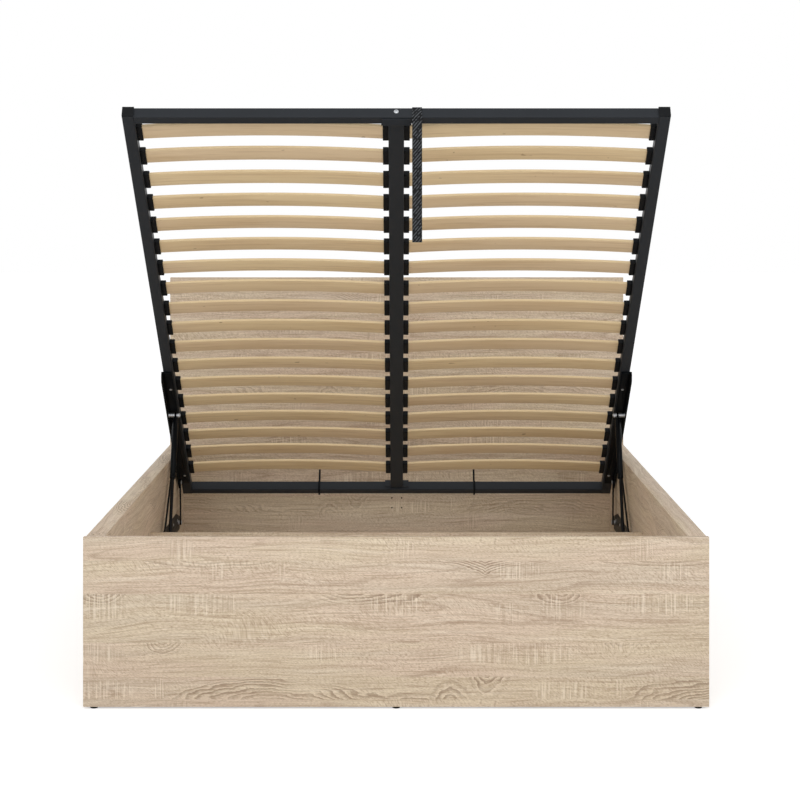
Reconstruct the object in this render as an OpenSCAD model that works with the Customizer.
// Storage bed whose slatted base lifts at the foot end on gas struts.
// +X is the sleeper's left as seen from the foot end, +Y runs to the headboard,
// +Z is up. The origin is on the floor, under the middle of the whole bed.

/* [Mattress space] */
// Clear width between the side rails
box_w = 1400; // [1200:10:1800]
// Clear length between footboard and headboard
box_l = 2022; // [1950:1:2100]

/* [Boards] */
// Height of the footboard and the side rails above the glides
rail_h = 407; // [380:1:450]
// Thickness of a side rail
rail_t = 45; // [38:1:60]
// Thickness of footboard, headboard and divider
board_t = 18; // [18:1:25]
// How far the footboard stands past each rail
board_lip = 5; // [0:1:15]
// Height of the headboard above the glides
headboard_h = 956; // [850:1:1200]
// Height of the divider above the glides, which carries the closed base
divider_h = 266; // [250:1:280]
// Thickness of the loose floor panels
panel_t = 4; // [3:1:8]
// Side of the square battens under the floor panels
batten = 20; // [16:1:25]
// Gap round each floor panel
panel_gap = 2; // [1:0.5:5]

/* [Glides and board fittings] */
// Diameter of a glide
glide_d = 18; // [14:1:18]
// Height of a glide
glide_h = 4; // [3:1:10]
// Diameter of the beech dowels
dowel_d = 8; // [6:1:10]
// Length of a dowel inside the rail
dowel_in_rail = 30; // [20:1:40]
// Length of a dowel or cam bolt inside an end board
bore_in_board = 11; // [8:1:14]
// Diameter of a cam disc
cam_d = 15; // [12:1:20]
// Distance from the rail's end to the middle of a cam disc
cam_reach = 34; // [24:1:40]
// Depth of a cam disc
cam_depth = 12; // [10:1:16]
// Spacing of the four accessory holes in the headboard
grid = 32; // [25:1:64]
// Diameter of an accessory hole
grid_hole_d = 5; // [4:0.5:8]
// Height of the middle of the accessory holes above the floor
grid_z = 219; // [180:1:250]

/* [Slatted base] */
// Width of the closed gap between the base and each rail
side_gap = 10; // [10:0.5:14]
// Closed gap between the base and the headboard
head_gap = 5; // [5:0.5:10]
// Closed gap between the base and the footboard
foot_gap = 5; // [5:0.5:12]
// Height of the side and cross tubes
tube_h = 30; // [28:1:40]
// Width of a side tube
tube_w = 30; // [28:1:40]
// Width of the cross tubes
cross_w = 28; // [20:1:30]
// Wall of all the tubes
tube_wall = 1.5; // [1:0.1:3]
// Corner radius of all the tubes
tube_r = 2.5; // [2:0.1:4]
// How far the foot tube sits back from the tips of the side tubes
foot_tube_set = 5; // [4:0.5:8]
// Width of the centre beam
beam_w = 40; // [36:1:50]
// How far the centre beam's underside is above that of the tubes
beam_rise = 6; // [4:0.5:8]
// Width of the angle bracket at each end of the beam
beam_bracket_w = 76; // [60:1:78]
// Thickness of the two beam brackets
beam_bracket_t = 3; // [2:0.5:4]
// Rows of slats
slat_n = 18; // [14:1:18]
// Width of a slat
slat_w = 53; // [38:1:60]
// Thickness of a slat
slat_t = 8; // [6:0.5:10]
// Rise of a slat at mid span
slat_crown = 11; // [8:0.5:14]
// Height of a slat's underside above the tubes' underside, at its ends
slat_rise = 16; // [14:0.5:17]
// Middle of the first slat from the head end
slat_first = 142; // [130:1:200]
// Middle of the last slat from the foot end
slat_last = 92; // [80:1:140]
// How far a holder stands off its tube
holder_out = 14.5; // [12:0.5:18]
// Wall of a holder round the slat
holder_wall = 3; // [2:0.5:4]
// Length of slat held inside a holder
slat_grip = 11; // [8:0.5:12]
// Play of a slat in its holder, each way
slat_play = 0.3; // [0.2:0.05:0.5]
// Diameter of a holder's peg
peg_d = 8; // [6:0.5:10]
// Length of a holder's peg
peg_l = 7; // [4:0.5:10]
// Depth of an end cap's plug
cap_plug = 15; // [10:1:30]
// Thickness of an end cap's face
cap_t = 2.5; // [1.5:0.5:4]

/* [Lift mechanism] */
// Angle of the open base
tilt = 35.26; // [34.8:0.02:36]
// How far the head end slides to the foot while the base opens
open_slide = 129; // [110:1:130]
// How far the head end drops while the base opens
open_drop = 4; // [0:0.5:7]
// Closed gap between the base and the divider
shut_gap = 0.5; // [0.3:0.1:2]
// Distance of all pivots below the base's underside
pivot_drop = 14; // [13:0.5:15]
// Rear link's pivot from the base's head end
rear_s = 105; // [100:1:115]
// Front link's pivot from the base's head end
front_s = 325; // [324:1:335]
// Strut's pivot from the base's head end
strut_s = 532; // [520:1:534]
// Depth of the rear link's lower pivot below the closed base
rear_down = 84.5; // [80:0.5:95]
// Depth of the front link's and the strut's lower pivot below the closed base
front_down = 90.5; // [87:0.5:100]
// Width of a link
link_w = 17; // [14:0.5:18]
// Thickness of a link
link_t = 4; // [3:0.5:5]
// Diameter of the pivot pins
pin_d = 8; // [6:0.5:8]
// Diameter of the pins' heads and spacers
pin_head_d = 14; // [12:0.5:16]
// Thickness of the pins' heads
pin_head_t = 2.4; // [2:0.1:3]
// Radial play of a link on its pin
pin_play = 0.05; // [0.02:0.01:0.1]
// Side play between moving faces
face_play = 0.3; // [0.3:0.05:0.5]
// Thickness of the rail plate
rail_plate_t = 2.5; // [2:0.1:3]
// Height of the rail plate
rail_plate_h = 62; // [60:1:75]
// Depth of the rail plate's top edge below the closed base
plate_down = 49.5; // [45:0.5:55]
// Thickness of the lift bracket
lift_t = 3; // [2:0.1:3]
// Depth of the lift bracket's flange below the base
lift_depth = 27; // [26:0.5:35]
// Width of the lift bracket's leg under the tube
lift_leg = 26; // [20:1:28]

/* [Gas strut] */
// Distance of its axis from the lift bracket's flange
strut_off = 22; // [20:0.5:24]
// Diameter of the cylinder
strut_d = 18; // [16:1:19]
// Wall of the cylinder
strut_wall = 1.5; // [1:0.1:2]
// Diameter of the rod
rod_d = 10; // [8:1:12]
// Length of the cylinder
strut_l = 195; // [192:1:200]
// Start of the cylinder from its pivot
strut_start = 10; // [10:0.5:14]
// Thickness of the strut's eyes
eye_t = 5; // [4:0.5:8]
// Diameter of the strut's eyes
eye_d = 18; // [16:0.5:20]

/* [Pull strap and mattress stops] */
// Width of the strap
strap_w = 25; // [20:1:40]
// Thickness of the strap
strap_t = 2.5; // [2:0.1:4]
// Length of the hanging strap
strap_l = 310; // [250:5:340]
// Near edge of the strap from the bed's middle
strap_x = 40; // [39.5:0.5:120]
// Depth of the doubled hem at the strap's end
hem_l = 22; // [15:1:40]
// Distance of each mattress stop from the bed's middle
stop_x = 250; // [150:5:500]
// Height of a mattress stop above the tubes
stop_h = 59; // [40:1:80]
// Width of a mattress stop
stop_w = 6; // [5:0.5:12]
// Thickness of a mattress stop
stop_t = 3; // [2:0.1:3]

/* [Hidden] */
bore_play = 0.1;
eps = 0.05;
fine = 48;
arc_fn = 720;

outer_w = box_w + 2 * rail_t;
foot_w = outer_w + 2 * board_lip;
total_l = box_l + 2 * board_t;
front_y = -total_l / 2;
inner_front_y = front_y + board_t;
inner_back_y = inner_front_y + box_l;
rail_x = box_w / 2;

divider_y = front_y + total_l / 2 - board_t / 2;
divider_back_y = divider_y + board_t;
panel_z = glide_h + batten;
joint_heights = [0.16, 0.5, 0.9];

base_w = box_w - 2 * side_gap;
base_l = box_l - head_gap - foot_gap;
tube_in_x = base_w / 2 - tube_w;
shut_y = inner_back_y - head_gap;
shut_z = glide_h + divider_h + shut_gap;
open_y = shut_y - open_slide;
open_z = shut_z - open_drop;
foot_tube_s = base_l - foot_tube_set;
foot_tube_in_s = foot_tube_s - cross_w;
slat_pitch = (base_l - slat_first - slat_last) / (slat_n - 1);
bay_w = tube_in_x - beam_w / 2;
slat_l = bay_w - 2 * holder_out + 2 * slat_grip;
slat_radius = (slat_l * slat_l / 4 + slat_crown * slat_crown) / (2 * slat_crown);
holder_l = slat_w + 2 * holder_wall;
holder_z = slat_rise - holder_wall;
holder_h = slat_t + 2 * holder_wall + 1;
peg_z = slat_rise + slat_t / 2;
bracket_in_s = foot_tube_in_s - beam_bracket_t;

// Layers of the mechanism, as distances from the bed's middle
plate_in_x = rail_x - rail_plate_t;
flange_out_x = plate_in_x - 2;
flange_in_x = flange_out_x - lift_t;
link_out_x = flange_in_x - 0.5;
link_in_x = link_out_x - link_t;
link_pin_in_x = link_in_x - face_play - pin_head_t;
strut_x = flange_in_x - strut_off;
eye_out_x = strut_x + eye_t / 2;
eye_in_x = strut_x - eye_t / 2;

// A point of the base, s from its head end and n above its underside, as [y, z]
function raised(s, n) = [
    open_y - s * cos(tilt) + n * sin(tilt),
    open_z + s * sin(tilt) + n * cos(tilt)
];
function lowered(s, n) = [shut_y - s, shut_z + n];
function reach(a, b) = norm(b - a);
function slope(a, b) = atan2(b[1] - a[1], b[0] - a[0]);
// The fixed pivot at height z that is as far from the open as from the shut pivot
function fixed_pivot(s, z) =
    let (a = raised(s, -pivot_drop), b = lowered(s, -pivot_drop))
    let (mid = (a + b) / 2, step = b - a)
    [mid[0] - (z - mid[1]) * step[1] / step[0], z];

rear_top = raised(rear_s, -pivot_drop);
rear_foot = fixed_pivot(rear_s, shut_z - rear_down);
front_top = raised(front_s, -pivot_drop);
front_foot = fixed_pivot(front_s, shut_z - front_down);
strut_top = raised(strut_s, -pivot_drop);
strut_open_l = reach(strut_top, front_foot);
strut_angle = slope(strut_top, front_foot);
wall_top = 2;
wall_foot = 4;
piston_t = 5;
piston_open = strut_start + strut_l - wall_foot - piston_t - 1;

lift_start = rear_s - 30;
lift_end = strut_s + 233;
lift_step = strut_s + 13;
lift_screws = [rear_s + 22, strut_s + 139];
plate_front = front_foot[0] - 24;
plate_back = rear_foot[0] + 51;
plate_slope = rear_foot[0] - 57;
plate_high_z = shut_z - plate_down;
plate_low_z = plate_high_z - rail_plate_h;
rail_screws = [
    [front_foot[0] + 45, front_foot[1]],
    [front_foot[0] + 200, front_foot[1]],
    [rear_foot[0] - 155, plate_high_z - 21],
    [rear_foot[0] - 28, plate_high_z - 25]
];

// ---------- placing ----------

// Moves what is drawn along the base, s against +Y, to the open base
module on_base() {
    translate([0, open_y, open_z])
        rotate([-tilt, 0, 0])
            children();
}

// side is +1 on the +X side and -1 on the other
module sided(side) {
    if (side > 0)
        children();
    else
        mirror([1, 0, 0])
            children();
}

module both_sides() {
    children();
    mirror([1, 0, 0])
        children();
}

// Extrudes an outline drawn in [y, z] from x to x + t
module plate_yz(x, t) {
    translate([x, 0, 0])
        rotate([90, 0, 90])
            linear_extrude(height = t)
                children();
}

// A cylinder along X from x1 to x2 at the point [y, z]
module rod_x(at, x1, x2, d) {
    translate([x1, at[0], at[1]])
        rotate([0, 90, 0])
            cylinder(d = d, h = x2 - x1, $fn = fine);
}

// A cylinder along Y from y1 to y2
module rod_y(x, y1, y2, z, d) {
    translate([x, y1, z])
        rotate([-90, 0, 0])
            cylinder(d = d, h = y2 - y1, $fn = fine);
}

module rounded(w, h, r) {
    translate([r, 0])
        square([w - 2 * r, h]);
    translate([0, r])
        square([w, h - 2 * r]);
    for (x = [r, w - r], y = [r, h - r])
        translate([x, y])
            circle(r = r, $fn = fine);
}

module tube_profile(w, h) {
    difference() {
        rounded(w, h, tube_r);
        translate([tube_wall, tube_wall])
            rounded(w - 2 * tube_wall, h - 2 * tube_wall, tube_r - tube_wall);
    }
}

// ---------- boards ----------

module end_board_bores(y) {
    for (side = [-1, 1]) {
        for (x = [rail_t * 0.25, rail_t * 0.75])
            rod_y(side * (rail_x + x), y, y + bore_in_board, joint_z(1), dowel_d + 2 * bore_play);
        for (i = [0, 2])
            rod_y(side * (rail_x + cam_bolt_x()), y, y + bore_in_board, joint_z(i),
                cam_bolt_d() + 2 * bore_play);
    }
}

function joint_z(i) = glide_h + rail_h * joint_heights[i];
function cam_bolt_d() = 6;
function cam_bolt_x() = cam_depth / 2;

module footboard() {
    color("#cbb89f")
        difference() {
            translate([-foot_w / 2, front_y, glide_h])
                cube([foot_w, board_t, rail_h]);
            end_board_bores(inner_front_y - bore_in_board);
        }
}

module headboard() {
    color("#bfa98e")
        difference() {
            translate([-outer_w / 2, inner_back_y, glide_h])
                cube([outer_w, board_t, headboard_h]);
            end_board_bores(inner_back_y);
            for (x = [-grid / 2, grid / 2], z = [grid_z - grid / 2, grid_z + grid / 2])
                rod_y(x, inner_back_y, inner_back_y + bore_in_board, z, grid_hole_d);
        }
}

module side_rail(side) {
    color("#c4ae94")
        sided(side)
            difference() {
                translate([rail_x, inner_front_y, glide_h])
                    cube([rail_t, box_l, rail_h]);
                for (x = [rail_t * 0.25, rail_t * 0.75]) {
                    rod_y(rail_x + x, inner_front_y, inner_front_y + dowel_in_rail,
                        joint_z(1), dowel_d + 2 * bore_play);
                    rod_y(rail_x + x, inner_back_y - dowel_in_rail, inner_back_y,
                        joint_z(1), dowel_d + 2 * bore_play);
                }
                for (i = [0, 2]) {
                    rod_y(rail_x + cam_bolt_x(), inner_front_y, inner_front_y + cam_reach,
                        joint_z(i), cam_bolt_d() + 2 * bore_play);
                    rod_y(rail_x + cam_bolt_x(), inner_back_y - cam_reach, inner_back_y,
                        joint_z(i), cam_bolt_d() + 2 * bore_play);
                    for (y = [inner_front_y + cam_reach, inner_back_y - cam_reach])
                        rod_x([y, joint_z(i)], rail_x, rail_x + cam_depth + bore_play,
                            cam_d + 2 * bore_play);
                }
            }
}

module centre_divider() {
    color("#c4ae94")
        translate([-rail_x, divider_y, glide_h])
            cube([box_w, board_t, divider_h]);
}

// A floor panel between y1 and y2, in two halves that meet on the middle batten
module floor_panel(y1, y2) {
    color("#b9a58c")
        both_sides()
            translate([panel_gap / 2, y1 + panel_gap, panel_z])
                cube([rail_x - 1.5 * panel_gap, y2 - y1 - 2 * panel_gap, panel_t]);
}

module floor_battens() {
    color("#d8c39a")
        for (bay = [[inner_front_y, divider_y], [divider_back_y, inner_back_y]]) {
            both_sides()
                translate([rail_x - batten, bay[0], glide_h])
                    cube([batten, bay[1] - bay[0], batten]);
            translate([-batten, bay[0], glide_h])
                cube([2 * batten, bay[1] - bay[0], batten]);
        }
}

module glides() {
    color("#1c1c1c")
        for (y = [front_y + board_t / 2, divider_y + board_t / 2, inner_back_y + board_t / 2])
            for (x = [-1, 0, 1])
                translate([x * (rail_x + rail_t / 2 + 2), y, 0])
                    cylinder(d = glide_d, h = glide_h, $fn = fine);
}

module corner_dowels() {
    color("#d8c39a")
        both_sides()
            for (x = [rail_x + rail_t * 0.25, rail_x + rail_t * 0.75]) {
                rod_y(x, inner_front_y - bore_in_board + eps, inner_front_y + dowel_in_rail - eps,
                    joint_z(1), dowel_d);
                rod_y(x, inner_back_y - dowel_in_rail + eps, inner_back_y + bore_in_board - eps,
                    joint_z(1), dowel_d);
            }
}

// A cam bolt from the end board, gripped by a slotted disc in the rail
module cam_set(y_board, toward_rail, z) {
    disc_y = y_board + toward_rail * cam_reach;
    bolt_end = y_board + toward_rail * (cam_reach - cam_d / 2 + 2);
    board_end = y_board - toward_rail * (bore_in_board - eps);
    difference() {
        rod_x([disc_y, z], rail_x + eps, rail_x + cam_depth, cam_d);
        translate([rail_x + cam_bolt_x() - 4, disc_y - cam_d / 2, z - 4])
            cube([8, cam_d, 8]);
        translate([rail_x, disc_y - 4, z - 0.8])
            cube([1.6, 8, 1.6]);
    }
    rod_y(rail_x + cam_bolt_x(), min(bolt_end, board_end), max(bolt_end, board_end),
        z, cam_bolt_d());
}

module cam_fittings() {
    color("#b8bbbd")
        both_sides()
            for (i = [0, 2]) {
                cam_set(inner_front_y, 1, joint_z(i));
                cam_set(inner_back_y, -1, joint_z(i));
            }
}

// ---------- mechanism on the rails ----------

module rail_plate(side) {
    color("#202224")
        sided(side)
            difference() {
                plate_yz(plate_in_x, rail_plate_t)
                    polygon([
                        [plate_front, plate_low_z + 12],
                        [plate_front + 12, plate_low_z],
                        [plate_back, plate_low_z],
                        [plate_back, plate_high_z - 22],
                        [plate_slope, plate_high_z],
                        [plate_front + 12, plate_high_z],
                        [plate_front, plate_high_z - 12]
                    ]);
                for (at = [rear_foot, front_foot])
                    rod_x(at, plate_in_x, rail_x, pin_d + 2 * bore_play);
                for (at = rail_screws)
                    rod_x(at, plate_in_x, rail_x, 5.4);
            }
}

module rail_plate_screws() {
    color("#c9cccf")
        both_sides()
            for (at = rail_screws) {
                rod_x(at, plate_in_x, rail_x, 5);
                rod_x(at, plate_in_x - 1.8, plate_in_x, 9);
            }
}

// A headed pin that a link turns on, from the rail plate or the lift bracket
module link_pin(at, back_x, seat_x) {
    rod_x(at, link_out_x + face_play, seat_x, pin_head_d);
    rod_x(at, link_in_x - face_play, back_x, pin_d);
    rod_x(at, link_pin_in_x, link_in_x - face_play, pin_head_d);
}

module base_pins() {
    color("#d5d8da")
        both_sides() {
            link_pin(rear_foot, rail_x, plate_in_x);
            link_pin(front_foot, rail_x, plate_in_x);
        }
}

module bar_outline(a, b, w) {
    translate(a)
        rotate(slope(a, b)) {
            for (along = [0, reach(a, b)])
                translate([along, 0])
                    circle(d = w, $fn = fine);
            translate([0, -w / 2])
                square([reach(a, b), w]);
        }
}

module rear_link(side) {
    color("#1d1f21")
        sided(side)
            difference() {
                plate_yz(link_in_x, link_t)
                    bar_outline(rear_foot, rear_top, link_w);
                for (at = [rear_foot, rear_top])
                    rod_x(at, link_in_x - 1, link_out_x + 1, pin_d + 2 * pin_play);
            }
}

// The link's upper end carries its own rivet, which lies against the lift bracket
module front_link(side) {
    color("#1d1f21")
        sided(side) {
            difference() {
                plate_yz(link_in_x, link_t)
                    bar_outline(front_foot, front_top, link_w);
                rod_x(front_foot, link_in_x - 1, link_out_x + 1, pin_d + 2 * pin_play);
            }
            rod_x(front_top, link_in_x - pin_head_t, link_in_x, pin_head_d);
        }
}

// ---------- slatted base, drawn with s along -Y and n along Z ----------

function peg_ys() = [for (i = [0:slat_n - 1]) -(slat_first + i * slat_pitch)];

module side_tube(side) {
    color("#333537")
        on_base()
            sided(side)
                difference() {
                    translate([tube_in_x, -cap_t, 0])
                        rotate([90, 0, 0])
                            linear_extrude(height = base_l - 2 * cap_t)
                                tube_profile(tube_w, tube_h);
                    for (y = peg_ys())
                        rod_x([y, peg_z], tube_in_x - 1, tube_in_x + tube_wall + 1,
                            peg_d + 2 * bore_play);
                    for (s = lift_screws)
                        translate([lift_screw_x(), -s, -1])
                            cylinder(d = 5.4, h = tube_wall + 2, $fn = fine);
                }
}

function lift_screw_x() = tube_in_x + tube_w / 2;

module cross_tube(s) {
    difference() {
        translate([-tube_in_x, -s - cross_w, 0])
            rotate([90, 0, 90])
                linear_extrude(height = 2 * tube_in_x)
                    tube_profile(cross_w, tube_h);
        rod_y(0, -s - cross_w - 1, -s + 1, bolt_z(), 6 + 2 * bore_play);
    }
}

function bolt_z() = beam_rise + (tube_h - beam_rise) / 2;

module foot_tube() {
    color("#3a3c3e")
        on_base()
            cross_tube(foot_tube_in_s);
}

module head_tube() {
    color("#2f3133")
        on_base()
            cross_tube(0);
}

module centre_beam() {
    beam_s = cross_w + beam_bracket_t;
    color("#35373a")
        on_base()
            difference() {
                translate([-beam_w / 2, -beam_s, beam_rise])
                    rotate([90, 0, 0])
                        linear_extrude(height = bracket_in_s - beam_s)
                            tube_profile(beam_w, tube_h - beam_rise);
                for (y = peg_ys(), x = [-1, 1])
                    rod_x([y, peg_z], x * (beam_w / 2 - tube_wall / 2) - tube_wall,
                        x * (beam_w / 2 - tube_wall / 2) + tube_wall, peg_d + 2 * bore_play);
            }
}

// An angle with one leg against the cross tube's inner face and one leg flat on it
module beam_bracket_foot() {
    color("#35373a")
        on_base()
            difference() {
                union() {
                    translate([-beam_bracket_w / 2, -foot_tube_in_s, -beam_bracket_t])
                        cube([beam_bracket_w, beam_bracket_t, tube_h]);
                    translate([-beam_bracket_w / 2 + 2, -foot_tube_s + 6, -beam_bracket_t])
                        cube([beam_bracket_w - 4, cross_w - 6 + beam_bracket_t, beam_bracket_t]);
                }
                rod_y(0, -foot_tube_in_s - 1, -bracket_in_s + 1, bolt_z(), 6 + 2 * bore_play);
            }
}

module beam_bracket_head() {
    color("#2f3133")
        on_base()
            difference() {
                union() {
                    translate([-beam_bracket_w / 2, -cross_w - beam_bracket_t, tube_r + 6])
                        cube([beam_bracket_w, beam_bracket_t, tube_h + beam_bracket_t - tube_r - 6]);
                    translate([-beam_bracket_w / 2, -cross_w - beam_bracket_t, tube_h])
                        cube([beam_bracket_w, cross_w, beam_bracket_t]);
                }
                rod_y(0, -cross_w - beam_bracket_t - 1, -cross_w + 1, bolt_z(), 6 + 2 * bore_play);
            }
}

module end_caps() {
    plug_w = tube_w - 2 * tube_wall - 2 * bore_play;
    plug_h = tube_h - 2 * tube_wall - 2 * bore_play;
    inset = tube_wall + bore_play;
    color("#26282a")
        on_base()
            both_sides()
                for (tip = [[0, 1], [-base_l, -1]])
                    translate([tube_in_x, tip[0], 0])
                        rotate([90, 0, 0])
                            mirror([0, 0, tip[1] < 0 ? 1 : 0]) {
                                linear_extrude(height = cap_t)
                                    rounded(tube_w, tube_h, tube_r);
                                translate([inset, inset, cap_t])
                                    linear_extrude(height = cap_plug)
                                        rounded(plug_w, plug_h, tube_r - tube_wall);
                            }
}

// An angle under the side tube: a leg on the tube and a flange with the pivots
module lift_bracket(side) {
    color("#232527")
        on_base()
            sided(side)
                difference() {
                    union() {
                        translate([flange_out_x - lift_leg - 5, -lift_end, -lift_t])
                            cube([lift_leg + 5, lift_end - lift_start, lift_t]);
                        plate_yz(flange_in_x, lift_t)
                            polygon([
                                [-lift_start, 0],
                                [-lift_start, -lift_depth + 9],
                                [-lift_start - 12, -lift_depth],
                                [-lift_end + 14, -lift_depth],
                                [-lift_end, -lift_depth + 14],
                                [-lift_end, 0]
                            ]);
                        translate([tube_in_x + 4, -lift_end, -2 * lift_t])
                            cube([tube_w - 8, lift_end - lift_step, lift_t]);
                    }
                    for (s = [rear_s, strut_s])
                        rod_x([-s, -pivot_drop], flange_in_x - 1, flange_out_x + 1,
                            pin_d + 2 * bore_play);
                    for (s = lift_screws)
                        translate([lift_screw_x(), -s, -2 * lift_t - 1])
                            cylinder(d = 5.4, h = 2 * lift_t + 2, $fn = fine);
                }
}

// A pan-head screw up through the lift bracket into the side tube
module lift_screw(s, head_z) {
    translate([lift_screw_x(), -s, head_z])
        cylinder(d = 5, h = tube_wall - head_z + 3, $fn = fine);
    translate([lift_screw_x(), -s, head_z - 2.2])
        cylinder(d = 9, h = 2.2, $fn = fine);
}

// A bolt through a cross tube and its bracket, with a hexagon nut inside the beam
module beam_bolt(head_y, way, nut_y) {
    tip_y = nut_y + way * 8;
    rod_y(0, min(head_y, tip_y), max(head_y, tip_y), bolt_z(), 6);
    rod_y(0, min(head_y, head_y - way * 3), max(head_y, head_y - way * 3), bolt_z(), 12.5);
    translate([0, nut_y, bolt_z()])
        rotate([-90 * way, 0, 0])
            difference() {
                cylinder(d = 11.5, h = 5, $fn = 6);
                translate([0, 0, -1])
                    cylinder(d = 6 + 2 * bore_play, h = 7, $fn = fine);
            }
}

module frame_screws() {
    color("#c9cccf")
        on_base() {
            both_sides() {
                lift_screw(lift_screws[0], -lift_t);
                lift_screw(lift_screws[1], -2 * lift_t);
            }
            beam_bolt(-foot_tube_s, 1, -bracket_in_s);
            beam_bolt(0, -1, -cross_w - beam_bracket_t);
        }
}

module frame_pins() {
    at = [-rear_s, -pivot_drop];
    color("#d5d8da")
        on_base()
            both_sides() {
                link_pin(at, flange_out_x, flange_in_x);
                rod_x(at, flange_out_x, flange_out_x + 1.2, pin_head_d);
            }
}

module strut_bolts() {
    at = [-strut_s, -pivot_drop];
    color("#d5d8da")
        on_base()
            both_sides() {
                rod_x(at, eye_in_x - 12, flange_out_x, pin_d);
                rod_x(at, flange_out_x, flange_out_x + 1.2, pin_head_d);
                rod_x(at, eye_out_x + face_play, flange_in_x, pin_head_d);
                rod_x(at, eye_in_x - 12, eye_in_x - face_play, pin_head_d);
            }
}

// Places what is drawn along +X at the strut's top pivot, pointing to its foot
module along_strut() {
    translate([strut_x, strut_top[0], strut_top[1]])
        rotate([strut_angle, 0, 0])
            rotate([0, 0, 90])
                children();
}

module strut_cylinder(side) {
    color("#191a1c")
        sided(side)
            along_strut()
                difference() {
                    union() {
                        translate([0, eye_t / 2, 0])
                            rotate([90, 0, 0])
                                cylinder(d = eye_d, h = eye_t, $fn = fine);
                        translate([strut_start, 0, 0])
                            rotate([0, 90, 0])
                                cylinder(d = strut_d, h = strut_l, $fn = fine);
                        translate([0, -eye_t / 2, -5])
                            cube([strut_start + 1, eye_t, 10]);
                    }
                    translate([0, eye_t, 0])
                        rotate([90, 0, 0])
                            cylinder(d = pin_d + 2 * pin_play, h = 2 * eye_t, $fn = fine);
                    translate([strut_start + wall_top, 0, 0])
                        rotate([0, 90, 0])
                            cylinder(d = strut_d - 2 * strut_wall,
                                h = strut_l - wall_top - wall_foot, $fn = fine);
                    translate([strut_start + strut_l - wall_foot - 1, 0, 0])
                        rotate([0, 90, 0])
                            cylinder(d = rod_d + 2 * pin_play, h = wall_foot + 3, $fn = fine);
                }
}

// The rod ends in an eye on a cross pin, which stops beside the front link's pin
module strut_rod(side) {
    pin_out = link_pin_in_x - 0.5 - strut_x;
    rod_l = strut_open_l - pin_d / 2 - 2 - piston_open;
    color("#1c1d1f")
        sided(side)
            along_strut() {
                translate([piston_open, 0, 0])
                    rotate([0, 90, 0])
                        cylinder(d = rod_d, h = rod_l, $fn = fine);
                translate([piston_open, 0, 0])
                    rotate([0, 90, 0])
                        cylinder(d = strut_d - 2 * strut_wall - 0.2, h = piston_t, $fn = fine);
                translate([strut_open_l, eye_t / 2, 0])
                    rotate([90, 0, 0])
                        cylinder(d = eye_d, h = eye_t, $fn = fine);
                translate([strut_open_l, eye_t / 2 + 2, 0])
                    rotate([90, 0, 0])
                        cylinder(d = pin_d, h = pin_out + eye_t / 2 + 2, $fn = fine);
            }
}

// ---------- slats and holders ----------

// The crowned slat shape between x1 and x2, grown all round by more
module slat_shape(x1, x2, more) {
    mid_x = (beam_w / 2 + tube_in_x) / 2;
    centre_z = slat_rise + slat_crown - slat_radius;
    intersection() {
        translate([mid_x, slat_w / 2 + more, centre_z])
            rotate([90, 0, 0])
                difference() {
                    cylinder(r = slat_radius + slat_t + more, h = slat_w + 2 * more, $fn = arc_fn);
                    translate([0, 0, -1])
                        cylinder(r = slat_radius - more, h = slat_w + 2 * more + 2, $fn = arc_fn);
                }
        translate([x1, -slat_w, 0])
            cube([x2 - x1, 2 * slat_w, 2 * tube_h]);
    }
}

module slat_row(i) {
    x1 = beam_w / 2 + holder_out - slat_grip;
    color("#c9ab78")
        on_base()
            translate([0, -(slat_first + (i - 1) * slat_pitch), 0])
                both_sides()
                    slat_shape(x1, x1 + slat_l, 0);
}

// A holder from the face of a tube at x, open toward the bay
module holder(x, way) {
    block_x = way > 0 ? x : x - holder_out;
    pocket_x = way > 0 ? x + holder_out - slat_grip - slat_play : x - holder_out - 1;
    difference() {
        translate([block_x, -holder_l / 2, holder_z])
            cube([holder_out, holder_l, holder_h]);
        slat_shape(pocket_x, pocket_x + slat_grip + slat_play + 1, slat_play);
    }
    rod_x([0, peg_z], min(x, x - way * peg_l), max(x, x - way * peg_l), peg_d);
}

module side_holders() {
    color("#141414")
        on_base()
            for (y = peg_ys())
                translate([0, y, 0])
                    both_sides()
                        holder(tube_in_x, -1);
}

module centre_holders() {
    color("#141414")
        on_base()
            for (y = peg_ys())
                translate([0, y, 0])
                    both_sides()
                        holder(beam_w / 2, 1);
}

// ---------- strap and mattress stops ----------

strap_pivot = [-foot_tube_s + 1, -strap_t - strap_t / 2 - 0.35];

module strap_loop() {
    color("#202124")
        on_base()
            translate([strap_x, 0, 0])
                rotate([90, 0, 90])
                    linear_extrude(height = strap_w)
                        difference() {
                            translate([-foot_tube_s - strap_t, -strap_t])
                                rounded(cross_w + 2 * strap_t, tube_h + 2 * strap_t, tube_r + strap_t);
                            translate([-foot_tube_s, 0])
                                rounded(cross_w, tube_h, tube_r);
                        }
}

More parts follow.
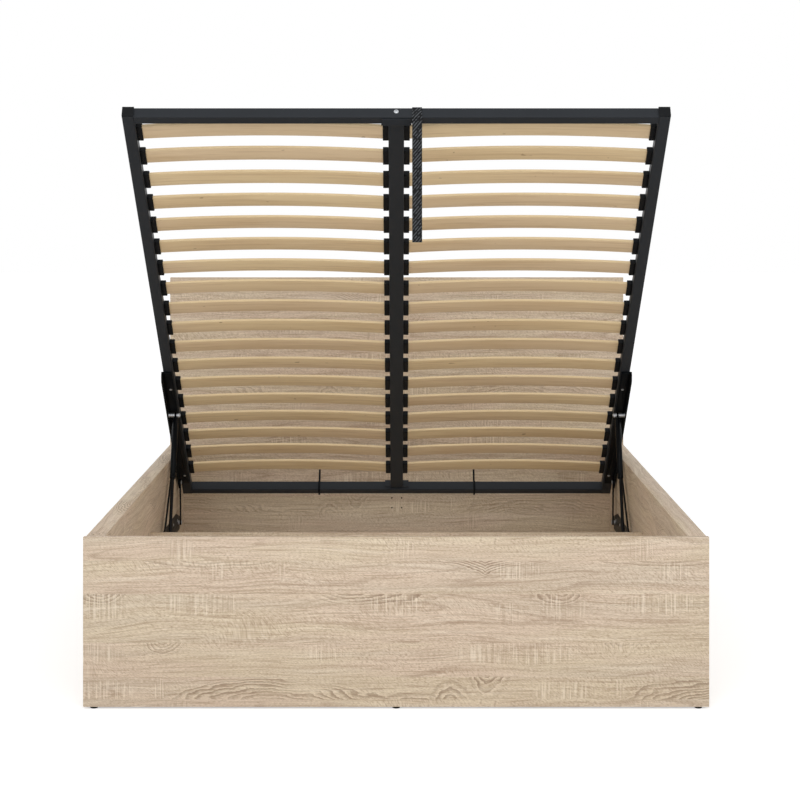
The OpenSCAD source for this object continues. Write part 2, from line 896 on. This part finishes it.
module pull_strap() {
    at = raised(-strap_pivot[0], strap_pivot[1]);
    color("#202124")
        translate([strap_x, at[0], at[1]]) {
            rotate([0, 90, 0])
                cylinder(d = strap_t, h = strap_w, $fn = fine);
            translate([0, -strap_t / 2, -strap_l])
                cube([strap_w, strap_t, strap_l]);
            translate([0, -strap_t, -strap_l])
                cube([strap_w, 2 * strap_t, hem_l]);
        }
}

// A flat hook round the head tube that stands up past the mattress side
module mattress_stops() {
    color("#1d1f21")
        on_base()
            both_sides()
                translate([stop_x - stop_w / 2, 0, -stop_t]) {
                    cube([stop_w, stop_t, tube_h + stop_h + stop_t]);
                    translate([0, -cross_w - stop_t, 0]) {
                        cube([stop_w, cross_w + stop_t, stop_t]);
                        cube([stop_w, stop_t, tube_h + stop_t]);
                    }
                }
}

footboard();
headboard();
side_rail(-1);  // side_rail_left
side_rail(1);  // side_rail_right
centre_divider();
floor_panel(inner_front_y, divider_y);  // floor_panel_front
floor_panel(divider_back_y, inner_back_y);  // floor_panel_rear
floor_battens();
glides();
corner_dowels();
cam_fittings();
rail_plate(-1);  // rail_plate_left
rail_plate(1);  // rail_plate_right
rail_plate_screws();
base_pins();
rear_link(-1);  // rear_link_left
rear_link(1);  // rear_link_right
front_link(-1);  // front_link_left
front_link(1);  // front_link_right
side_tube(-1);  // side_tube_left
side_tube(1);  // side_tube_right
foot_tube();
head_tube();
centre_beam();
beam_bracket_foot();
beam_bracket_head();
end_caps();
lift_bracket(-1);  // lift_bracket_left
lift_bracket(1);  // lift_bracket_right
frame_screws();
frame_pins();
strut_bolts();
strut_cylinder(-1);  // strut_cylinder_left
strut_cylinder(1);  // strut_cylinder_right
strut_rod(-1);  // strut_rod_left
strut_rod(1);  // strut_rod_right
side_holders();
centre_holders();
strap_loop();
pull_strap();
mattress_stops();
slat_row(1);  // slats_01
slat_row(2);  // slats_02
slat_row(3);  // slats_03
slat_row(4);  // slats_04
slat_row(5);  // slats_05
slat_row(6);  // slats_06
slat_row(7);  // slats_07
slat_row(8);  // slats_08
slat_row(9);  // slats_09
slat_row(10);  // slats_10
slat_row(11);  // slats_11
slat_row(12);  // slats_12
slat_row(13);  // slats_13
slat_row(14);  // slats_14
slat_row(15);  // slats_15
slat_row(16);  // slats_16
slat_row(17);  // slats_17
slat_row(18);  // slats_18
